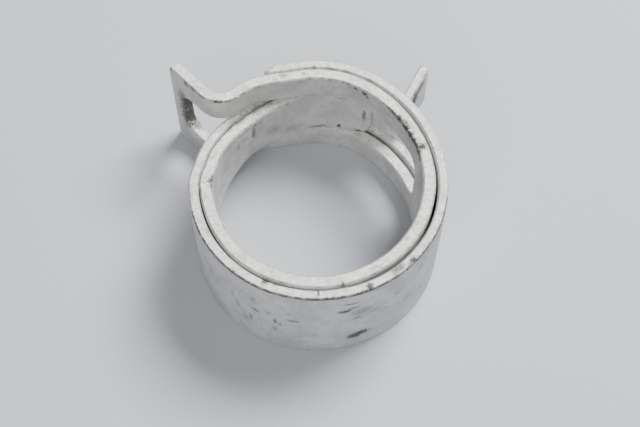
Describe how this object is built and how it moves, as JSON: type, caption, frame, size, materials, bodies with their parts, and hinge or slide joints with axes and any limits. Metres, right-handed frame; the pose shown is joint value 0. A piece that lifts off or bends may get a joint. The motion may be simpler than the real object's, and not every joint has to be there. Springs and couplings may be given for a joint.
{
  "type": "hose clamp",
  "caption": "Spring band hose clamp of nested steel strips: squeezing its windowed tang and its narrow tang together opens the ring round a hose.",
  "frame": {"origin": "on the ring's axis, in the plane of its lower edge", "axes": "+Z along the ring's axis, towards the upper edge; -Y towards the plain front of the ring, away from the tangs; the windowed tang is on the -X side and the narrow tang on the +X side"},
  "size_m": [0.0334, 0.0342, 0.015],
  "materials": {
    "outer_band_coating": "pale grey zinc flake coating on spring steel, satin, chipped dark in places",
    "inner_band_coating": "pale grey zinc flake coating on spring steel, satin, chipped dark along the edges"
  },
  "bodies": {
    "front": {"outer_band_front": "outer_band_coating", "inner_band_front": "inner_band_coating"},
    "left_front": {"outer_band_left_front": "outer_band_coating", "inner_band_left_front": "inner_band_coating"},
    "left_shoulder": {"outer_band_left_shoulder": "outer_band_coating", "inner_band_left_shoulder": "inner_band_coating"},
    "tongue_root": {"outer_tongue_root": "outer_band_coating", "inner_tongue_root": "inner_band_coating"},
    "tongue_middle": {"outer_tongue_middle": "outer_band_coating", "inner_tongue_middle": "inner_band_coating"},
    "narrow_tang_end": {"narrow_tang": "outer_band_coating", "inner_tongue_tip": "inner_band_coating"},
    "right_front": {"outer_band_right_front": "outer_band_coating", "inner_band_right_front": "inner_band_coating"},
    "window_start": {"outer_band_window_start": "outer_band_coating", "inner_band_window_start": "inner_band_coating"},
    "near_rails": {"outer_upper_rail_near": "outer_band_coating", "outer_lower_rail_near": "outer_band_coating", "inner_upper_rail_near": "inner_band_coating", "inner_lower_rail_near": "inner_band_coating"},
    "far_rails": {"outer_upper_prong": "outer_band_coating", "outer_lower_prong": "outer_band_coating", "inner_upper_rail_far": "inner_band_coating", "inner_lower_rail_far": "inner_band_coating"},
    "windowed_tang_end": {"windowed_tang": "inner_band_coating"}
  },
  "joints": [
    {"name": "right_front_flex", "type": "hinge", "parent": "front", "child": "right_front", "pos_m": [0.00708, -0.01227, 0.0075], "axis": [0, 0, -1], "range_deg": [0, 6], "stiffness_Nm_per_rad": 1.5},
    {"name": "window_start_flex", "type": "hinge", "parent": "right_front", "child": "window_start", "pos_m": [0.0133, -0.00356, 0.0075], "axis": [0, 0, -1], "range_deg": [0, 5.15]},
    {"name": "near_rails_flex", "type": "hinge", "parent": "window_start", "child": "near_rails", "pos_m": [0.01173, 0.00677, 0.0075], "axis": [0, 0, -1], "range_deg": [0, 4.86]},
    {"name": "far_rails_flex", "type": "hinge", "parent": "near_rails", "child": "far_rails", "pos_m": [0.00488, 0.01341, 0.0075], "axis": [0, 0, -1], "range_deg": [0, 4.58]},
    {"name": "windowed_tang_end_flex", "type": "hinge", "parent": "far_rails", "child": "windowed_tang_end", "pos_m": [-0.00496, 0.01361, 0.0075], "axis": [0, 0, -1], "range_deg": [0, 3.43]},
    {"name": "left_front_flex", "type": "hinge", "parent": "front", "child": "left_front", "pos_m": [-0.00711, -0.01231, 0.0075], "axis": [0, 0, 1], "range_deg": [0, 6]},
    {"name": "left_shoulder_flex", "type": "hinge", "parent": "left_front", "child": "left_shoulder", "pos_m": [-0.01313, -0.00352, 0.0075], "axis": [0, 0, 1], "range_deg": [0, 5.03]},
    {"name": "tongue_root_flex", "type": "hinge", "parent": "left_shoulder", "child": "tongue_root", "pos_m": [-0.01186, 0.00631, 0.0075], "axis": [0, 0, 1], "range_deg": [0, 4.74]},
    {"name": "tongue_middle_flex", "type": "hinge", "parent": "tongue_root", "child": "tongue_middle", "pos_m": [-0.00521, 0.0129, 0.0075], "axis": [0, 0, 1], "range_deg": [0, 4.35]},
    {"name": "narrow_tang_end_flex", "type": "hinge", "parent": "tongue_middle", "child": "narrow_tang_end", "pos_m": [0.00358, 0.01435, 0.0075], "axis": [0, 0, 1], "range_deg": [0, 2.97]}
  ],
  "couplings": [
    {"joint": "window_start_flex", "follows": "right_front_flex", "ratio": 0.857},
    {"joint": "near_rails_flex", "follows": "right_front_flex", "ratio": 0.81},
    {"joint": "far_rails_flex", "follows": "right_front_flex", "ratio": 0.762},
    {"joint": "windowed_tang_end_flex", "follows": "right_front_flex", "ratio": 0.571},
    {"joint": "left_front_flex", "follows": "right_front_flex", "ratio": 1},
    {"joint": "left_shoulder_flex", "follows": "right_front_flex", "ratio": 0.838},
    {"joint": "tongue_root_flex", "follows": "right_front_flex", "ratio": 0.79},
    {"joint": "tongue_middle_flex", "follows": "right_front_flex", "ratio": 0.724},
    {"joint": "narrow_tang_end_flex", "follows": "right_front_flex", "ratio": 0.495}
  ]
}
